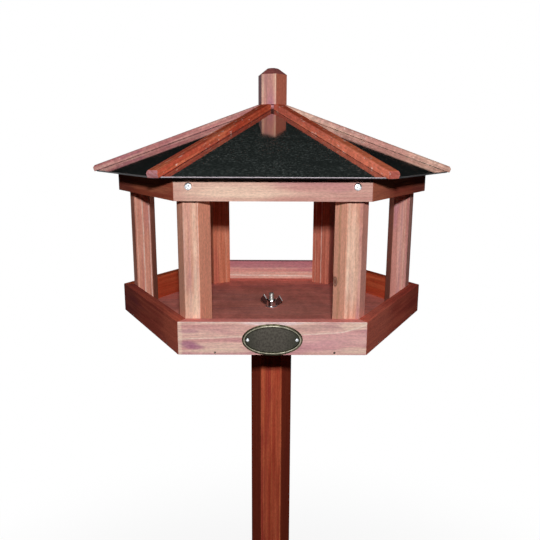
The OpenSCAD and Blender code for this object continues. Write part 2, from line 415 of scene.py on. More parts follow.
def cedar(name, grain, across, centre, tones, seed, pith=(0.05, 0.03), bands=BAND_GAP,
          rings=0.16, streaks=(), patches=(), knots=(), top_shade=None, clouds=None, pale_spots=0.0):
    """Sawn cedar. pith is the place of the heart across and through the piece, bands is the
    gap of its soft bands and rings the strength of its late wood lines. Faces that look up
    take the tone top_shade, a painted shade. clouds is the gap and strength of its blotches,
    and pale_spots the strength of its pale spots."""
    material, graph = new_material(name)
    level = board_coordinates(graph, grain, across, centre)
    place = graph.vector("ADD", level, (seed, -pith[0], -pith[1]))

    fibre = graph.grain_noise(place, FIBRE_DRAW, FIBRE_GAP, 2, 0.6)
    band = graph.grain_noise(place, BAND_DRAW, bands, 2, 0.5)
    drift = graph.grain_noise(place, DRIFT_DRAW, DRIFT_GAP, 3, 0.55)
    ring = graph.wave(
        graph.scaled(place, RING_DRAW, 1, 1),
        {"wave_type": "RINGS", "rings_direction": "X", "wave_profile": "SAW"},
        RING_GAP, *RING_WARP,
    )
    late = graph.math("POWER", ring, RING_POWER)

    colour = graph.mix(graph.fade(band, *PALE_SPAN), tones.body, tones.pale)
    colour = graph.mix(graph.fade(drift, *BLUSH_SPAN, 0.0, BLUSH), colour, tones.blush)
    colour = graph.mix(graph.fade(drift, *LATE_SPAN, LATE_DRIFT, 0.0), colour, tones.late)
    colour = graph.mix(graph.math("MULTIPLY", late, rings), colour, tones.late)
    if patches:
        colour = add_patches(graph, colour, level, patches)
    if streaks:
        colour = add_streaks(graph, colour, level, streaks)
    if knots:
        colour = add_knots(graph, colour, level, knots)
    end = graph.mix(graph.math("MULTIPLY", late, END_RINGS), tones.end, tones.late)
    normal = graph.face_normal()
    along = graph.math("ABSOLUTE", graph.vector("DOT_PRODUCT", normal, grain.normalized()))
    colour = graph.mix(graph.fade(along, *END_SPAN), colour, end)
    # Faces that look up take a redder, slightly darker tone: painted shade
    if top_shade:
        upward = graph.split(normal)[2]
        colour = graph.mix(graph.fade(upward, *TOP_SHADE_SPAN, 0.0, TOP_SHADE), colour, top_shade)
    # Pale spots drawn out along the grain
    if pale_spots:
        spot_noise = graph.grain_noise(place, PALE_SPOT_DRAW, PALE_SPOT_GAP, 2, 0.5)
        colour = graph.mix(graph.fade(spot_noise, *PALE_SPOT_SPAN, 0.0, pale_spots), colour, SAP_WHITE)
    if clouds:
        gap, mottle = clouds
        cloud = graph.noise(graph.scaled(place, 1, 0.5, 1), gap, 3, 0.6)
        cloud = graph.fade(cloud, *PORE_SPAN, 1 - mottle, 1 + mottle)
        colour = graph.mix(1.0, colour, cloud, "MULTIPLY")
    pores = graph.grain_noise(place, PORE_DRAW, PORE_GAP, 3, 0.7)
    fibre_level = graph.fade(fibre, *MID_SPAN, *FIBRE_LEVELS)
    pore_level = graph.fade(pores, *PORE_SPAN, *PORE_LEVELS)
    colour = graph.mix(1.0, colour, fibre_level, "MULTIPLY")
    colour = graph.mix(1.0, colour, pore_level, "MULTIPLY")

    relief = graph.math("MULTIPLY", late, RING_RELIEF)
    relief = graph.math("MULTIPLY_ADD", fibre, FIBRE_RELIEF, relief)
    shader = graph.add(
        "BsdfPrincipled", Base_Color=colour,
        Roughness=graph.fade(fibre, *MID_SPAN, *SAWN_ROUGHNESS),
        Specular_IOR_Level=0.0, Normal=graph.bump(relief, RELIEF, RELIEF_DEPTH),
    )
    graph.surface(shader.outputs["BSDF"])
    return material


# Where each kind of piece is cut from the noise, along it, and the step from piece to piece
CUTS = {
    "tray": (0.0, 0.37), "ring": (5.1, 0.41), "post": (9.3, 0.53), "hip": (14.7, 0.47),
    "king": (18.2, 0.0), "finial": (19.6, 0.0), "pole": (21.4, 0.0), "rail": (23.0, 0.6),
    "brace": (26.0, 0.6), "floor": (29.5, 0.0),
}


def cut(kind, i=0):
    """Place that piece i of its kind is cut from, so that no two pieces look alike."""
    start, step = CUTS[kind]
    return start + step * i


# Widths of the rounded edges. Corners closer than WELD_GAP are joined first, and an edge is
# rounded where its faces turn by more than SHARP.
BOARD_EDGE = 0.0008
POST_EDGE = 0.0012
HIP_EDGE = 0.0005
FINIAL_EDGE = 0.0008
POLE_EDGE = 0.001
LEG_EDGE = 0.0012
WASHER_EDGE = 0.0003
WING_EDGE = 0.0009
WELD_GAP = 1e-5
SHARP = radians(30)


def dress(node, material, bevel=0.0):
    """Gives a CAD node its finish, and rounds its sharp edges."""
    piece = NODES[node]
    for place in piece.material_slots:
        place.material = material
    if bevel:
        weld = piece.modifiers.new("joined corners", "WELD")
        weld.merge_threshold = WELD_GAP
        ease = piece.modifiers.new("eased edges", "BEVEL")
        ease.width = bevel
        ease.segments = 2
        ease.limit_method = "ANGLE"
        ease.angle_limit = SHARP
        ease.harden_normals = True


def centre_of(node):
    low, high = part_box(node)
    return (low + high) / 2


# Figure of the front board of the tray: a pale line that climbs to the right, and purple blots.
# The pale line along its top edge, the milky strip below it and the pale strip down its left
# end are painted highlights.
FRONT_STREAKS = (
    Streak(0.0038, 0.0010, SAP_WHITE, 0.75, 0.043, 5.67, 0.072),
    Streak(0.0050, 0.0036, CREAM, 0.45, 0.043, 5.67, 0.072),
    # Painted highlight along the top edge
    Streak(0.0206, 0.0014, SAP_WHITE, 0.6),
    Streak(-0.0125, 0.0012, MAUVE, 0.25, -0.02),
    Streak(0.0130, 0.0012, MAUVE, 0.2, 0.015),
)
FRONT_PATCHES = (
    Patch(-0.060, -0.0150, 0.036, 0.0040, CREAM, 0.45),
    # Painted highlight just below the top edge
    Patch(0.0, 0.0195, 0.034, 0.0030, TOP_HIGHLIGHT_MILK, 0.6),
    Patch(0.100, 0.0165, 0.022, 0.0050, CREAM, 0.6),
    # Painted highlight down the left end
    Patch(-0.1125, 0.0, 0.0030, 0.030, CREAM, 0.5),
    Patch(0.052, 0.0135, 0.030, 0.0042, TAUPE, 0.5),
    Patch(0.072, -0.0020, 0.050, 0.0130, ROSE, 0.5),
    Patch(0.104, -0.0145, 0.022, 0.0040, CREAM, 0.4),
    Patch(-0.103, -0.0075, 0.009, 0.0050, MAUVE, 0.75, 0.5),
    Patch(-0.094, -0.0110, 0.010, 0.0030, MAUVE, 0.7, 0.5),
    Patch(-0.101, 0.0090, 0.011, 0.0026, MAUVE, 0.4),
)
BACK_STREAKS = (
    Streak(-0.0062, 0.0024, SAP_WHITE, 0.8, 0.01),
    Streak(-0.0010, 0.0010, SAP_WHITE, 0.4, -0.015),
)
BACK_PATCHES = (
    Patch(0.0, 0.0165, 0.30, 0.0085, PLUM, 0.8),
    Patch(0.0, -0.0050, 0.30, 0.0065, SHELL, 0.6),
    Patch(0.0, -0.0142, 0.30, 0.0024, FLOOR_RED, 1.0, 0.15),
)
RING_PATCHES = (
    Patch(-0.060, 0.0, 0.060, 0.030, CREAM, 0.35, 0.5),
    Patch(-0.030, -0.0120, 0.060, 0.006, CREAM, 0.4),
    Patch(0.085, 0.0, 0.070, 0.040, DIM_PINK, 0.28, 0.5),
)
# Patches of the boards on both sides of the front ones: lighter at their front ends and darker
# at their rear ends, a painted fall-off of the light
SIDE_FALLOFF_PATCHES = {
    2: (
        Patch(-0.075, 0.0, 0.055, 0.030, SALMON, 0.65, 0.5),
        Patch(0.100, 0.0, 0.045, 0.030, DEEP_RED, 0.3, 0.5),
    ),
    6: (
        Patch(0.100, 0.0, 0.040, 0.030, BRICK, 0.7, 0.5),
        Patch(-0.095, 0.0, 0.055, 0.030, WINE, 0.45, 0.5),
    ),
}
# The same painted fall-off of the light on the side boards of the ring
RING_SIDE_FALLOFF_PATCHES = {
    2: (
        Patch(-0.095, 0.0, 0.050, 0.040, CORAL, 0.5, 0.5),
        Patch(0.095, 0.0, 0.045, 0.040, GRAPE, 0.4, 0.5),
    ),
    6: (Patch(-0.095, 0.0, 0.055, 0.040, GRAPE, 0.4, 0.5),),
}


def dress_boards():
    """Boards of the tray and of the upper ring."""
    tray_tones = {
        1: FRONT_TONES, 2: LIT_SIDE_TONES, 3: INNER_TONES, 4: BACK_TONES, 5: INNER_TONES,
        6: SIDE_TONES,
    }
    ring_tones = {1: RING_TONES, 4: RING_TONES}
    streaks = {1: FRONT_STREAKS, 4: BACK_STREAKS}
    tray_patches = {1: FRONT_PATCHES, 4: BACK_PATCHES, **SIDE_FALLOFF_PATCHES}
    ring_patches = {1: RING_PATCHES, **RING_SIDE_FALLOFF_PATCHES}
    knots = {3: [(0.045, 0.004, 0.0, 0.005)], 6: [(-0.06, -0.006, 0.0, 0.004)]}
    for i in range(1, SIDES + 1):
        turn = side_turn(i)
        along = sideways(turn)
        tray = f"tray_board_{i}"
        middle = outward(turn) * (SIDE_A + INNER_A) / 2 + UP * TRAY_MID
        dress(tray, cedar(
            tray, along, UP, middle, tray_tones[i], cut("tray", i),
            pith=(0.012, 0.06), rings=0.1 if i == 1 else 0.3, bands=0.009,
            streaks=streaks.get(i, ()), patches=tray_patches.get(i, ()),
            knots=knots.get(i, ()), top_shade=BOARD_TOP_SHADE if i == 1 else None,
        ), BOARD_EDGE)
        ring = f"ring_board_{i}"
        middle = outward(turn) * (RING_A + INNER_A) / 2 + UP * RING_MID
        dress(ring, cedar(
            ring, along, UP, middle, ring_tones.get(i, RING_SIDE_TONES), cut("ring", i),
            pith=(-0.02, 0.07), bands=0.005, patches=ring_patches.get(i, ()),
        ), BOARD_EDGE)


# Height of the knot in the second post
KNOT_Z = 1.2353
# Streaks and patches of the posts. Across is along +X from the outer corner of the post.
POST_FIGURES = {
    1: (
        # On post 1 the white streak at 17.8 mm is a painted highlight along the edge of its
        # front face
        (Streak(0.0135, 0.0040, CREAM, 0.5), Streak(0.0178, 0.0008, SAP_WHITE, 0.5),
         Streak(0.0072, 0.0024, MAUVE, 0.22), Streak(0.0010, 0.0016, CREAM, 0.3)),
        (Patch(-0.085, 0.010, 0.045, 0.009, CREAM, 0.45),
         # The long patches over the side faces of post 1 lighten them: painted light
         Patch(0.0, -0.0085, 0.5, 0.0085, PEACH, 0.85, 0.12),
         Patch(0.0, 0.0262, 0.5, 0.0085, APRICOT, 0.8, 0.12)),
    ),
    2: (
        (Streak(-0.0160, 0.0030, CREAM, 0.5), Streak(-0.0020, 0.0030, MAUVE, 0.3),
         Streak(-0.0255, 0.0022, TAN, 0.6)),
        (Patch(0.0, -0.0100, 0.06, 0.008, CREAM, 0.35),
         # The long patches over the side faces of post 2 lighten them: painted light
         Patch(0.0, -0.0270, 0.5, 0.0085, PALE_APRICOT, 0.8, 0.12),
         Patch(0.0, 0.0085, 0.5, 0.0085, WARM_PINK, 0.9, 0.12)),
    ),
    3: (
        (Streak(-0.0150, 0.0012, CREAM, 0.4), Streak(-0.0200, 0.0020, MAUVE, 0.35),
         Streak(-0.0110, 0.0010, MAUVE, 0.4)),
        (Patch(0.085, -0.0290, 0.030, 0.005, CREAM, 0.6),
         # Thin dark line down the narrow inner face of post 3: painted shade
         Patch(0.0, -0.0336, 0.5, 0.0012, UMBER_FACET_SHADE, 0.9, 0.1)),
    ),
    4: (
        (Streak(-0.0159, 0.0012, SAP_WHITE, 0.55), Streak(-0.0257, 0.0009, CREAM, 0.4),
         Streak(-0.0100, 0.0016, CLAY, 0.4)),
        (),
    ),
    5: (
        (Streak(0.0160, 0.0012, BURNT_CLAY, 0.5, 0.02), Streak(0.0240, 0.0010, CREAM, 0.3),
         Streak(0.0100, 0.0010, BURNT_CLAY, 0.4, -0.015)),
        (),
    ),
    6: (
        (Streak(0.0215, 0.0012, SAP_WHITE, 0.6), Streak(0.0310, 0.0012, SAP_WHITE, 0.6),
         Streak(0.0120, 0.0012, CREAM, 0.4), Streak(0.0185, 0.0014, CHERRY, 0.45)),
        # Thin dark line down the narrow inner face of post 6: painted shade
        (Patch(0.0, 0.0336, 0.5, 0.0012, UMBER_FACET_SHADE, 0.9, 0.1),),
    ),
}


def dress_posts():
    """Posts, each with its figure placed from its outer corner."""
    middle = centre_of("post_1").z
    post_tones = {
        1: POST_TONES, 2: POST_TONES, 3: PINK_POST_TONES, 4: REAR_POST_TONES,
        5: LEFT_POST_TONES, 6: SIDE_POST_TONES,
    }
    knots = {2: [(KNOT_Z - middle, -0.0289, 0.017, 0.0036)]}
    for i in range(1, SIDES + 1):
        name = f"post_{i}"
        corner = outward(corner_turn(i)) * INNER_R + UP * middle
        streaks, patches = POST_FIGURES[i]
        dress(name, cedar(
            name, UP, outward(0), corner, post_tones[i], cut("post", i),
            pith=(0.03, 0.05), streaks=streaks, patches=patches, knots=knots.get(i, ()),
        ), POST_EDGE)


# Figures of the two battens in front: a red upper end on the first; on the second a lighter
# lower end, a painted light, and a pale line down one edge, a painted highlight
HIP_PATCHES = {
    1: (Patch(-0.075, 0.0, 0.060, 0.030, VERMILION, 0.5, 0.4),),
    2: (
        # Lighter lower end: painted light
        Patch(0.090, 0.0, 0.090, 0.030, LIT_RUST, 0.6, 0.4),
        # Pale line down one edge: painted highlight
        Patch(0.0, -0.0085, 1.0, 0.0013, RUST_EDGE_HIGHLIGHT, 0.4, 0.1),
    ),
}


def dress_hips():
    """Battens over the hips, and the king block under them."""
    hip_tones = {1: HIP_TONES, 2: RUST_HIP_TONES, 3: PALE_HIP_TONES}
    for i in range(1, SIDES + 1):
        turn = corner_turn(i)
        name = f"hip_batten_{i}"
        down = outward(turn) * cos(HIP_SLOPE) - UP * sin(HIP_SLOPE)
        dress(name, cedar(
            name, down, sideways(turn), centre_of(name), hip_tones.get(i, PINK_HIP_TONES),
            cut("hip", i), pith=(0.02, 0.04), bands=0.004, rings=0.35, pale_spots=0.5,
            patches=HIP_PATCHES.get(i, ()), clouds=(0.006, 0.16),
        ), HIP_EDGE)
    dress("king_block", cedar(
        "king_block", UP, outward(0), centre_of("king_block"), SIDE_TONES, cut("king"),
    ))


# Azimuth of the edge of the finial that faces the front, which its figure is placed from
FINIAL_TURN = radians(253)
FINIAL_STREAKS = (
    Streak(-0.0086, 0.0026, CREAM, 0.55), Streak(0.0098, 0.0018, CREAM, 0.6),
    Streak(-0.0035, 0.0020, DRAB, 0.5), Streak(0.0030, 0.0040, MAUVE, 0.2),
)
FINIAL_PATCHES = (
    Patch(-0.02, 0.002, 0.02, 0.007, ORCHID, 0.5),
    Patch(0.0, 0.0180, 1.0, 0.0072, RIGHT_FLANK_RED, 1.0, 0.04),
    Patch(0.0, -0.0180, 1.0, 0.0072, DUSK, 1.0, 0.04),
)


def dress_finial():
    """The finial, whose two flanks take tones of their own."""
    dress("finial", cedar(
        "finial", UP, sideways(FINIAL_TURN), centre_of("finial"), FINIAL_TONES, cut("finial"),
        pith=(0.003, 0.006), rings=0.1, streaks=FINIAL_STREAKS, patches=FINIAL_PATCHES,
    ), FINIAL_EDGE)


POLE_STREAKS = (
    Streak(-0.0115, 0.0009, AMBER, 0.5), Streak(0.0006, 0.0009, AMBER, 0.55),
    Streak(0.0148, 0.0010, AMBER, 0.6), Streak(-0.0060, 0.0008, AMBER, 0.2),
    Streak(0.0080, 0.0008, AMBER, 0.2), Streak(-0.0160, 0.0008, AMBER, 0.3),
)
# The flanks of the pole are painted darker than its front and back: painted shade
POLE_PATCHES = (
    Patch(0.0, -0.0245, 2.0, 0.008, POLE_FLANK_SHADE, 0.85, 0.08),
    Patch(0.0, 0.0245, 2.0, 0.008, POLE_FLANK_SHADE, 0.85, 0.08),
)


def dress_pole():
    """Pole, with its grain upright."""
    dress("pole", cedar(
        "pole", UP, outward(0), centre_of("pole"), POLE_TONES, cut("pole"),
        pith=(0.004, 0.055), rings=0.25, streaks=POLE_STREAKS, patches=POLE_PATCHES,
    ), POLE_EDGE)


def dress_foot():
    """Rails of the foot and the braces above them, at 45 degrees."""
    for i in range(1, LEGS + 1):
        out = outward(leg_turn(i))
        rail, brace = f"foot_rail_{i}", f"foot_brace_{i}"
        dress(rail, cedar(
            rail, out, UP, centre_of(rail), POLE_TONES, cut("rail", i),
            pith=(0.02, 0.05), rings=0.3,
        ), LEG_EDGE)
        dress(brace, cedar(
            brace, out - UP, sideways(leg_turn(i)), centre_of(brace), POLE_TONES,
            cut("brace", i), pith=(0.02, 0.05), rings=0.3,
        ), LEG_EDGE)


FLOOR_PATCHES = (
    Patch(0.010, -0.010, 0.075, 0.045, ASH, 0.3, 0.6),
    Patch(-0.045, 0.060, 0.06, 0.025, ASH, 0.3, 0.6),
    Patch(0.0, -0.112, 0.20, 0.022, FLOOR_RED, 0.3, 0.6),
)


def dress_floor():
    """Panel of the tray's floor, with its grain from side to side."""
    dress("tray_floor", cedar(
        "tray_floor", outward(0), sideways(0), centre_of("tray_floor"), FLOOR_TONES,
        cut("floor"), pith=(0.3, 0.25), bands=0.012, rings=0.08, patches=FLOOR_PATCHES,
        clouds=(0.02, 0.12),
    ))


# ---------------------------------------------------------------- roof

ROOF_BLACK = tone("3a4442")
ROOF_FLECK = tone("98a4a0")
BARE_EDGE = tone("f0e4ec")
EDGE_SHADE = tone("2c282a")
EDGE_DIRT_AND_SHADE = tone("484446")
MIRROR_TINT = tone("ffd0bc")
MATT_TINT = tone("000000")
DASH_GAP = 0.0013
CLOUD_GAP = 0.025
COAT_DRAW = 0.4
# Noise levels at which the dashes set in, and those of the clouds that thin them out
DASH_SPAN = (0.5, 0.72)
THIN_SPAN = (0.25, 0.6)
# Upward parts of the normal between which a cut edge, or the underside, gives way to the top
EDGE_SPAN = (0.55, 0.65)
UNDER_SPAN = (0.5, 0.6)
# Heights above the eave's lowest line between which the painted shade at the foot of its edge
# ends
FOOT_SHADE_SPAN = (0.0010, 0.0014)
EDGE_DIRT = 0.3
BARE_IOR = 1.3
COAT_SHARE = 0.2
UNDER_ROUGHNESS = 0.5
CLOUD_ROUGHNESS = 0.05
DASH_RELIEF = 0.1
DASH_DEPTH = 0.0001


def coated_sheet(name, along, centre, edge_tone, gloss, blur):
    """Roof panel: a glossy near-black coat with fine dashes along the sheet, bare edges and a
    matt underside. gloss is what the panel has above the refractive index BARE_IOR, of which
    the coat gets COAT_SHARE. blur is the roughness of what it mirrors."""
    material, graph = new_material(name)
    place = board_coordinates(graph, along, along.cross(UP), centre)
    dashes = graph.grain_noise(place, COAT_DRAW, DASH_GAP, 2, 0.6)
    cloud = graph.grain_noise(place, COAT_DRAW, CLOUD_GAP, 3, 0.6)
    fleck = graph.math(
        "MULTIPLY", graph.fade(dashes, *DASH_SPAN), graph.fade(cloud, *THIN_SPAN),
    )
    face = graph.mix(fleck, ROOF_BLACK, ROOF_FLECK)
    upward = graph.split(graph.face_normal())[2]
    edge = graph.fade(graph.math("ABSOLUTE", upward), *EDGE_SPAN, 1.0, 0.0)
    under = graph.fade(upward, *UNDER_SPAN, 1.0, 0.0)
    height = graph.split(graph.object_place())[2]
    rim = graph.fade(height, *[panel_low.z + rise for rise in FOOT_SHADE_SPAN])
    dirt = graph.fade(dashes, *MID_SPAN, 0.0, EDGE_DIRT)
    # Dirt on the cut edge, in the dull tone that is painted shade on the side panels
    bare = graph.mix(dirt, edge_tone, EDGE_DIRT_AND_SHADE)
    # The foot of the cut edge is darkened: painted shade
    bare = graph.mix(rim, EDGE_SHADE, bare)
    roughness = graph.math("MULTIPLY_ADD", graph.fade(cloud, 0.35, 0.65), CLOUD_ROUGHNESS, blur)
    roughness = graph.math("MULTIPLY_ADD", under, UNDER_ROUGHNESS, roughness)
    shader = graph.add(
        "BsdfPrincipled", Base_Color=graph.mix(edge, face, bare), Roughness=roughness,
        IOR=BARE_IOR + gloss, Specular_Tint=graph.mix(under, MIRROR_TINT, MATT_TINT),
        Coat_Weight=graph.math("SUBTRACT", 1.0, under), Coat_IOR=BARE_IOR + COAT_SHARE * gloss,
        Coat_Roughness=blur, Normal=graph.bump(dashes, DASH_RELIEF, DASH_DEPTH),
    )
    graph.surface(shader.outputs["BSDF"])
    return material


# Tone of the cut edge, gloss and blur of each panel: the photograph shows that they differ.
# The dull edge tone of the side panels is a painted shade.
FRONT_FINISH = (BARE_EDGE, 3.6, 0.07)
LEFT_FINISH = (EDGE_DIRT_AND_SHADE, 0.7, 0.05)
RIGHT_FINISH = (EDGE_DIRT_AND_SHADE, 1.8, 0.05)
PANEL_FINISHES = {
    1: FRONT_FINISH, 2: RIGHT_FINISH, 3: RIGHT_FINISH,
    4: FRONT_FINISH, 5: LEFT_FINISH, 6: LEFT_FINISH,
}


def dress_roof():
    """Panels of the roof."""
    for i in range(1, SIDES + 1):
        name = f"roof_panel_{i}"
        dress(name, coated_sheet(
            name, sideways(side_turn(i)), centre_of(name), *PANEL_FINISHES[i],
        ))


# ---------------------------------------------------------------- metal

# The grit of a metal is so many times finer than its patina, and stands out so far
GRIT_SHARE = 6
GRIT_RELIEF = 0.15
GRIT_DEPTH = 0.0001
PATINA_SPAN = (0.4, 0.62)
PATINA_ROUGHNESS = 0.16
# Distances from the middle of the plate between which its ends set in, and their strength
END_REACH = (0.012, 0.034)
END_STRENGTH = 0.7


def metal(name, bright, dull, roughness, patina_gap, ends=None):
    """Metal with a patchy finish: bright and dull are its tones, and ends that of its left and
    right ends."""
    material, graph = new_material(name)
    place = graph.object_place()
    patina = graph.noise(place, patina_gap, 3, 0.6)
    grit = graph.noise(place, patina_gap / GRIT_SHARE, 2, 0.6)
    colour = graph.mix(graph.fade(patina, *PATINA_SPAN), bright, dull)
    if ends:
        reach = graph.math("ABSOLUTE", graph.split(place)[0])
        colour = graph.mix(graph.fade(reach, *END_REACH, 0.0, END_STRENGTH), colour, ends)
    shader = graph.add(
        "BsdfPrincipled", Base_Color=colour, Metallic=1.0,
        Roughness=graph.fade(patina, *MID_SPAN, roughness, roughness + PATINA_ROUGHNESS),
        Normal=graph.bump(grit, GRIT_RELIEF, GRIT_DEPTH),
    )
    graph.surface(shader.outputs["BSDF"])
    return material


# Finish of each metal: its bright and its dull tone, its roughness, the gap of its patina and,
# for the plate's field, the tone of its ends
METALS = {
    "zinc": (tone("f0f2f4"), tone("c4c8cc"), 0.3, 0.004),
    "stud_zinc": (tone("fafffa"), tone("c8ccc8"), 0.4, 0.004),
    "dark_steel": (tone("7a6c64"), tone("4a3c36"), 0.4, 0.003),
    "flange_bronze": (tone("5c5640"), tone("322e22"), 0.4, 0.006),
    "ridge_bronze": (tone("a6a290"), tone("848070"), 0.42, 0.006),
    "hollow_bronze": (tone("2c2c20"), tone("1e2018"), 0.4, 0.006),
    "field_bronze": (tone("545049"), tone("433f3a"), 0.4, 0.0025, tone("34362e")),
}
BRONZES = ("flange_bronze", "ridge_bronze", "hollow_bronze", "field_bronze")

# Azimuth of the wings, the radius of the boss between them and the gap of their grit
WING_TURN = radians(158)
BOSS_R = 0.0083
BOSS_EASE = 0.0005
GRIT_GAP = 0.0007
GRIT_SPAN = (0.4, 0.7)
SPECKS = 0.3
# Cosines between which a face counts as a flat side of the wings
FLAT_SPAN = (0.94, 0.98)
# Bright tone of the boss and of the edges, where it is a painted highlight, and the dark tone
# of the flat sides of the wings, a painted dark reflection
WING_TONES = (tone("fafafa"), tone("68686e"))
# Metallic and roughness of the edges, which make their matt bright painted highlight
EDGE_HIGHLIGHT_METALLIC = 0.25
BOSS_ROUGHNESS = 0.2
EDGE_HIGHLIGHT_ROUGHNESS = 0.5


def winged(bright, dull):
    """Plated wing nut: the flat sides of its wings take a dark tone, a painted dark reflection,
    and their edges a matt bright tone, a painted highlight; its boss is a bright metal."""
    material, graph = new_material("wing_nut")
    place = graph.object_place()
    grit = graph.noise(place, GRIT_GAP, 2, 0.6)
    flat = graph.vector("DOT_PRODUCT", graph.face_normal(), sideways(WING_TURN))
    flat = graph.fade(graph.math("ABSOLUTE", flat), *FLAT_SPAN)
    out = graph.fade(graph.length(graph.scaled(place, 1, 1, 0)), BOSS_R, BOSS_R + BOSS_EASE)
    # Edges outside the boss that are not flat sides get a painted highlight
    edge_highlight = graph.math("SUBTRACT", out, flat, clamp=True)
    # Flat sides take the dark tone, a painted dark reflection, with bright specks of grit
    dark_flats = graph.mix(graph.fade(grit, *GRIT_SPAN, 0.0, SPECKS), dull, bright)
    shader = graph.add(
        "BsdfPrincipled", Base_Color=graph.mix(flat, bright, dark_flats),
        Metallic=graph.fade(edge_highlight, 0.0, 1.0, 1.0, EDGE_HIGHLIGHT_METALLIC),
        Roughness=graph.fade(edge_highlight, 0.0, 1.0, BOSS_ROUGHNESS, EDGE_HIGHLIGHT_ROUGHNESS),
        Normal=graph.bump(grit, GRIT_RELIEF, GRIT_DEPTH),
    )
    graph.surface(shader.outputs["BSDF"])
    return material


# ---------------------------------------------------------------- hardware

def new_piece(name, mesh_data, materials, replaces=()):
    """Turns mesh data into a piece of the object."""
    mesh = bpy.data.meshes.new(name)
    bmesh.ops.recalc_face_normals(mesh_data, faces=mesh_data.faces)
    mesh_data.to_mesh(mesh)
    mesh_data.free()
    for material in materials:
        mesh.materials.append(material)
    piece = bpy.data.objects.new(name, mesh)
    SCENE.collection.objects.link(piece)
    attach(piece, "root")
    if replaces:
        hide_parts(*replaces)
    return piece


def facing(point, direction, turn=0.0):
    """Place of a small piece at point, with its +Z along direction and turned round it."""
    swing = direction.to_track_quat("Z", "Y").to_matrix().to_4x4()
    return Matrix.Translation(point) @ swing @ Matrix.Rotation(turn, 4, "Z")


def add_skin(mesh_data, place, loops):
    """Closed skin through loops of points, each with as many points, capped at both ends."""
    rows = [[mesh_data.verts.new(place @ Vector(p)) for p in loop] for loop in loops]
    faces = []
    for low, high in zip(rows, rows[1:]):
        for k in range(len(low)):
            n = (k + 1) % len(low)
            faces.append(mesh_data.faces.new((low[k], low[n], high[n], high[k])))
    faces.append(mesh_data.faces.new(rows[0]))
    faces.append(mesh_data.faces.new(rows[-1]))
    for face in faces:
        face.smooth = True
    return faces


def oval(half_w, half_h, height, count):
    return [
        (half_w * cos(tau * k / count), half_h * sin(tau * k / count), height)
        for k in range(count)
    ]


def circle(radius, height, count):
    return oval(radius, radius, height, count)


SCREW_R = 0.0046
SCREW_H = 0.0022
SCREW_SPOKES = 40
SCREW_RINGS = 13
# Width of a head's foot as a share, the depth it is let in by, and the height of its rim
SCREW_FOOT = 0.9
SCREW_SINK = 0.0004
SCREW_RIM = 0.0002
# Place of the screws above the foot of the ring, and from its inner corners
SCREW_RISE = 0.017
SCREW_FROM_CORNER = 0.0095
# Cross recess: the width and reach of its arms, how softly they end, its depth and its floor
ARM_W = 0.0010
ARM_REACH = 0.0023
ARM_EASE = 0.0003
RECESS = 0.0008
RECESS_FLOOR = 0.0003


def cross_depth(x, y):
    """Depth of the cross recess at a point of a screw head."""
    long, short = max(abs(x), abs(y)), min(abs(x), abs(y))
    inside = min(ARM_W / 2 - short, ARM_REACH - long) / ARM_EASE
    return RECESS * min(max(inside + 0.5, 0), 1) * (1 - 0.5 * long / ARM_REACH)


def screw_head(mesh_data, place):
    """Pan head with a cross recess, on a surface at z = 0."""
    loops = [
        circle(SCREW_R * SCREW_FOOT, -SCREW_SINK, SCREW_SPOKES),
        circle(SCREW_R, SCREW_RIM, SCREW_SPOKES),
    ]
    for k in range(SCREW_RINGS):
        radius = SCREW_R * (1 - (k + 0.3) / SCREW_RINGS)
        dome = SCREW_H * (1 - (radius / SCREW_R) ** 4) ** 0.5
        loops.append([
            (x, y, max(dome - cross_depth(x, y), RECESS_FLOOR))
            for x, y, _ in circle(radius, 0, SCREW_SPOKES)
        ])
    add_skin(mesh_data, place, loops)


def make_screws(zinc):
    """Two screws in the front board and in the back board of the ring, into the posts."""
    mesh_data = bmesh.new()
    for i in (1, 4):
        turn = side_turn(i)
        for hand in (-1, 1):
            point = (
                outward(turn) * RING_A + UP * (RING_Z + SCREW_RISE)
                + sideways(turn) * hand * (INNER_HALF - SCREW_FROM_CORNER)
            )
            cross_turn = 0.5 * i + hand
            screw_head(mesh_data, facing(point, outward(turn), cross_turn))
    new_piece("ring_screws", mesh_data, [zinc])


# Section of a nail head as (share of its radius, height), and where and how large the heads are
NAIL_SECTION = ((0.85, -0.0006), (1.0, -0.0001), (1.0, 0.0002), (0.8, 0.0004), (0.35, 0.0005))
NAIL_SPOKES = 16
PIN_R = 0.0014
PIN_RISE = 0.003
PIN_PLACES = (-0.070, 0.076)
BRAD_R = 0.0013
BRAD_PLACES = (0.107, 0.187)
BATTEN_T = 0.007


def nail_head(mesh_data, place, radius):
    """Slightly domed nail head, driven almost flush."""
    loops = [circle(radius * share, z, NAIL_SPOKES) for share, z in NAIL_SECTION]
    add_skin(mesh_data, place, loops)


def make_nails(steel, zinc):
    """Floor pins low in the tray boards, and brads down the middle of the battens."""
    pins = bmesh.new()
    for i in range(1, SIDES + 1):
        turn = side_turn(i)
        for along in PIN_PLACES:
            point = outward(turn) * SIDE_A + sideways(turn) * along + UP * (TRAY_Z + PIN_RISE)
            nail_head(pins, facing(point, outward(turn)), PIN_R)
    new_piece("tray_pins", pins, [steel])
    brads = bmesh.new()
    crest = APEX_Z + BATTEN_T / cos(HIP_SLOPE)
    for i in range(1, SIDES + 1):
        turn = corner_turn(i)
        normal = outward(turn) * sin(HIP_SLOPE) + UP * cos(HIP_SLOPE)
        for reach in BRAD_PLACES:
            point = outward(turn) * reach + UP * (crest - reach * tan(HIP_SLOPE))
            nail_head(brads, facing(point, normal), BRAD_R)
    new_piece("batten_brads", brads, [zinc])


PITCH = 0.00125
THREAD = 0.0004
THREAD_STEPS = 8
STUD_SPOKES = 24
# Height of the stud's tapered tip, and how much thinner it gets
TIP_H = 0.0012
TIP_TAPER = 0.0006


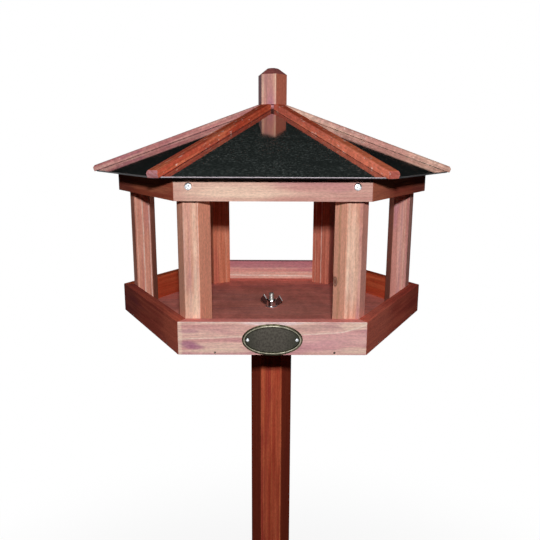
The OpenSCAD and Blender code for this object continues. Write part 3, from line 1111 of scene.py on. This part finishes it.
def make_stud(zinc):
    """Threaded stud: its ridges climb as a helix from the tray's underside up."""
    radius = (stud_high.x - stud_low.x) / 2
    loops = [circle(radius, stud_low.z, STUD_SPOKES), circle(radius, TRAY_Z, STUD_SPOKES)]
    count = int((stud_high.z - TRAY_Z) / PITCH * THREAD_STEPS)
    for k in range(1, count + 1):
        z = TRAY_Z + (stud_high.z - TRAY_Z) * k / count
        taper = max(0.0, 1 - (stud_high.z - z) / TIP_H) * TIP_TAPER
        loop = []
        for n in range(STUD_SPOKES):
            turn = tau * n / STUD_SPOKES
            phase = (z / PITCH + n / STUD_SPOKES) % 1
            r = radius - THREAD * abs(2 * phase - 1) - taper
            loop.append((r * cos(turn), r * sin(turn), z))
        loops.append(loop)
    mesh_data = bmesh.new()
    add_skin(mesh_data, Matrix.Identity(4), loops)
    new_piece("threaded_stud", mesh_data, [zinc], ["stud"])


MM = 1000
PLATE_SPOKES = 96
# Sections of the plate from its outline inwards, as (inset in mm, share of its full height)
FLANGE = ((0.0, 0.0), (0.0, 0.28), (0.25, 0.42), (1.6, 0.46))
RIDGE = ((1.85, 0.72), (2.3, 0.96), (2.7, 1.0), (3.1, 0.96), (3.5, 0.74))
HOLLOW = ((3.8, 0.42), (4.6, 0.34))
FIELD = ((6.0, 0.36), (9.0, 0.46), (13.0, 0.55), (17.0, 0.58), (19.5, 0.58))


def make_plate(metals):
    """Bare oval plate: a dark flange, a bright ridge, a dark hollow and a slightly crowned
    field."""
    half_w = (plate_high.x - plate_low.x) / 2
    half_h = (plate_high.z - plate_low.z) / 2
    proud = plate_high.y - plate_low.y
    middle = Vector((
        (plate_high.x + plate_low.x) / 2, -SIDE_A, (plate_high.z + plate_low.z) / 2,
    ))
    loops = []
    indices = []
    for index, section in enumerate((FLANGE, RIDGE, HOLLOW, FIELD)):
        for inset, share in section:
            inset /= MM
            loops.append(oval(half_w - inset, half_h - inset, proud * share, PLATE_SPOKES))
            indices.append(index)
    mesh_data = bmesh.new()
    faces = add_skin(mesh_data, facing(middle, outward(radians(FRONT))), loops)
    for k, face in enumerate(faces[:-2]):
        face.material_index = indices[k // PLATE_SPOKES + 1]
    faces[-1].material_index = indices[-1]
    new_piece("oval_plate", mesh_data, metals, ["name_plate"])


RIVET_SINK = 0.0002
RIVET_STEPS = 8
RIVET_SPOKES = 32


def make_rivets(zinc):
    """Domed heads of the two pins of the plate, half as high as their radius."""
    low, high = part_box("plate_pins")
    gap = high.x - low.x - (high.z - low.z)
    radius = (high.z - low.z) / 2
    proud = -SIDE_A - plate_low.y
    mesh_data = bmesh.new()
    for hand in (-1, 1):
        point = Vector((hand * gap / 2, -SIDE_A - 0.5 * proud, (low.z + high.z) / 2))
        loops = [circle(radius, -RIVET_SINK, RIVET_SPOKES)]
        for k in range(RIVET_STEPS):
            angle = pi / 2 * k / RIVET_STEPS
            loops.append(circle(
                radius * cos(angle), radius * 0.5 * sin(angle), RIVET_SPOKES,
            ))
        add_skin(mesh_data, facing(point, outward(radians(FRONT))), loops)
    new_piece("plate_rivets", mesh_data, [zinc], ["plate_pins"])


# ---------------------------------------------------------------- studio

# Levels of the soft light from all round and of what mirrors see overhead, and the heights of
# view between which their white horizon gives way to it
AMBIENT = 0.006
CEILING = 0.004
HORIZON = (-0.02, 0.06)

# Radius of the ground, the distances between which its shadow fades out, how much it dims near
# the foot, and its paint as the camera and as the object see it
GROUND_R = 3.2
SHADOW_SPAN = (0.6, 1.6)
GROUND_DIM = 0.16
GROUND_PAINT = 0.1
GROUND_BOUNCE = 0.02


def mirrored(graph, path):
    """Whether a ray is seen in a mirror or through glass, and not by way of a matt surface."""
    either = graph.math(
        "MAXIMUM", path.outputs["Is Glossy Ray"], path.outputs["Is Transmission Ray"],
    )
    straight = graph.math("LESS_THAN", path.outputs["Diffuse Depth"], 0.5)
    return graph.math("MULTIPLY", either, straight)


def make_world():
    """White to the camera. Mirror rays see white up to the horizon and a dark ceiling above."""
    world = bpy.data.worlds.new("studio")
    world.use_nodes = True
    SCENE.world = world
    graph = Graph(world.node_tree)
    path = graph.add("LightPath")
    height = graph.split(graph.add("TexCoord").outputs["Generated"])[2]
    backdrop = graph.fade(height, *HORIZON, 1.0, CEILING)
    mirror = mirrored(graph, path)
    soft = graph.math("MULTIPLY", graph.math("SUBTRACT", 1.0, mirror), AMBIENT)
    level = graph.math("MULTIPLY_ADD", mirror, backdrop, soft)
    level = graph.math("MAXIMUM", level, path.outputs["Is Camera Ray"])
    shader = graph.add("Background", Color=(1, 1, 1, 1), Strength=level)
    output = graph.add("OutputWorld")
    world.node_tree.links.new(shader.outputs[0], output.inputs["Surface"])


def make_ground():
    """White disc that keeps the shadow of the foot and is plain white further out."""
    mesh_data = bmesh.new()
    bmesh.ops.create_circle(mesh_data, cap_ends=True, segments=96, radius=GROUND_R)
    mesh = bpy.data.meshes.new("ground")
    mesh_data.to_mesh(mesh)
    mesh_data.free()
    ground = bpy.data.objects.new("ground", mesh)
    SCENE.collection.objects.link(ground)
    material, graph = new_material("ground")
    mesh.materials.append(material)
    near = graph.fade(graph.length(graph.object_place()), *SHADOW_SPAN, 1.0, 0.0)
    path = graph.add("LightPath")
    seen = graph.math("MAXIMUM", path.outputs["Is Camera Ray"], mirrored(graph, path))
    glow = graph.math("MULTIPLY", seen, graph.math("MULTIPLY_ADD", near, -GROUND_DIM, 1.0))
    emit = graph.add("Emission", Color=(1, 1, 1, 1), Strength=glow)
    paint = graph.math(
        "MULTIPLY_ADD", path.outputs["Is Camera Ray"], GROUND_PAINT, GROUND_BOUNCE,
    )
    paint = graph.math("MULTIPLY", near, paint)
    matt = graph.add("BsdfDiffuse", Color=graph.mix(paint, (0, 0, 0, 1), (1, 1, 1, 1)))
    both = graph.add("AddShader")
    graph.put(both.inputs[0], emit.outputs[0])
    graph.put(both.inputs[1], matt.outputs[0])
    graph.surface(both.outputs[0])


KEY_PLACE = Vector((0, -0.8646, 1.487))
KEY_AIM = Vector((0, -SIDE_A, TRAY_Z + 0.1))
KEY_SIZE = 0.03
KEY_LEVEL = 0.9
BACK_PLACE = Vector((1.2, 2.0, 0.95))
BACK_AIM = Vector((0, 0, 0.95))
BACK_SIZE = 1.0
BACK_LEVEL = 0.34


def lamp(name, place, aim, size, level, glossy=True):
    """Square lamp that lights a white surface facing it at aim to the given level. Its light
    falls off with the distance, not with its square, so that the far side isn't lost."""
    reach = (aim - place).length
    data = bpy.data.lights.new(name, "AREA")
    data.size = size
    data.energy = level * pi ** 2 * reach ** 2
    data.use_nodes = True
    nodes = data.node_tree.nodes
    falloff = nodes.new("ShaderNodeLightFalloff")
    falloff.inputs["Strength"].default_value = 1 / reach
    data.node_tree.links.new(falloff.outputs["Linear"], nodes["Emission"].inputs["Strength"])
    light = bpy.data.objects.new(name, data)
    light.location = place
    light.rotation_mode = "QUATERNION"
    light.rotation_quaternion = (aim - place).to_track_quat("-Z", "Y")
    light.visible_camera = False
    light.visible_glossy = glossy
    SCENE.collection.objects.link(light)


def make_lights():
    """A small key lamp above the camera, and two soft ones behind the table."""
    lamp("key", KEY_PLACE, KEY_AIM, KEY_SIZE, KEY_LEVEL)
    for hand in (-1, 1):
        place = Vector((hand * BACK_PLACE.x, BACK_PLACE.y, BACK_PLACE.z))
        lamp(f"back_{hand}", place, BACK_AIM, BACK_SIZE, BACK_LEVEL, glossy=False)


# Pose of the camera: how far it looks down, aside and is rolled, and from how far at what
CAMERA_PITCH = radians(11.899)
CAMERA_YAW = radians(0.148)
CAMERA_ROLL = radians(0.218)
CAMERA_REACH = 0.8593
CAMERA_AIM = Vector((-0.0026, 0, TRAY_Z + 0.0642))
SENSOR_MM = 36
LENS_MM = 36.96


def make_camera():
    data = bpy.data.cameras.new("camera")
    data.sensor_width = SENSOR_MM
    data.lens = LENS_MM
    data.clip_start = 0.05
    camera = bpy.data.objects.new("camera", data)
    SCENE.collection.objects.link(camera)
    ahead = Vector((
        sin(CAMERA_YAW) * cos(CAMERA_PITCH), cos(CAMERA_YAW) * cos(CAMERA_PITCH),
        -sin(CAMERA_PITCH),
    ))
    camera.location = CAMERA_AIM - ahead * CAMERA_REACH
    camera.rotation_mode = "QUATERNION"
    camera.rotation_quaternion = (
        ahead.to_track_quat("-Z", "Y") @ Quaternion((0, 0, 1), CAMERA_ROLL)
    )
    SCENE.camera = camera


# ---------------------------------------------------------------- assembly

SCENE.view_settings.view_transform = "Standard"
make_camera()
make_world()
make_ground()
make_lights()
dress_boards()
dress_posts()
dress_hips()
dress_finial()
dress_pole()
dress_foot()
dress_floor()
dress_roof()
zinc = metal("zinc", *METALS["zinc"])
dark_steel = metal("dark_steel", *METALS["dark_steel"])
stud_zinc = metal("stud_zinc", *METALS["stud_zinc"])
bronzes = [metal(name, *METALS[name]) for name in BRONZES]
dress("washer", zinc, WASHER_EDGE)
dress("wing_nut", winged(*WING_TONES), WING_EDGE)
make_screws(zinc)
make_nails(dark_steel, zinc)
make_stud(stud_zinc)
make_plate(bronzes)
make_rivets(zinc)
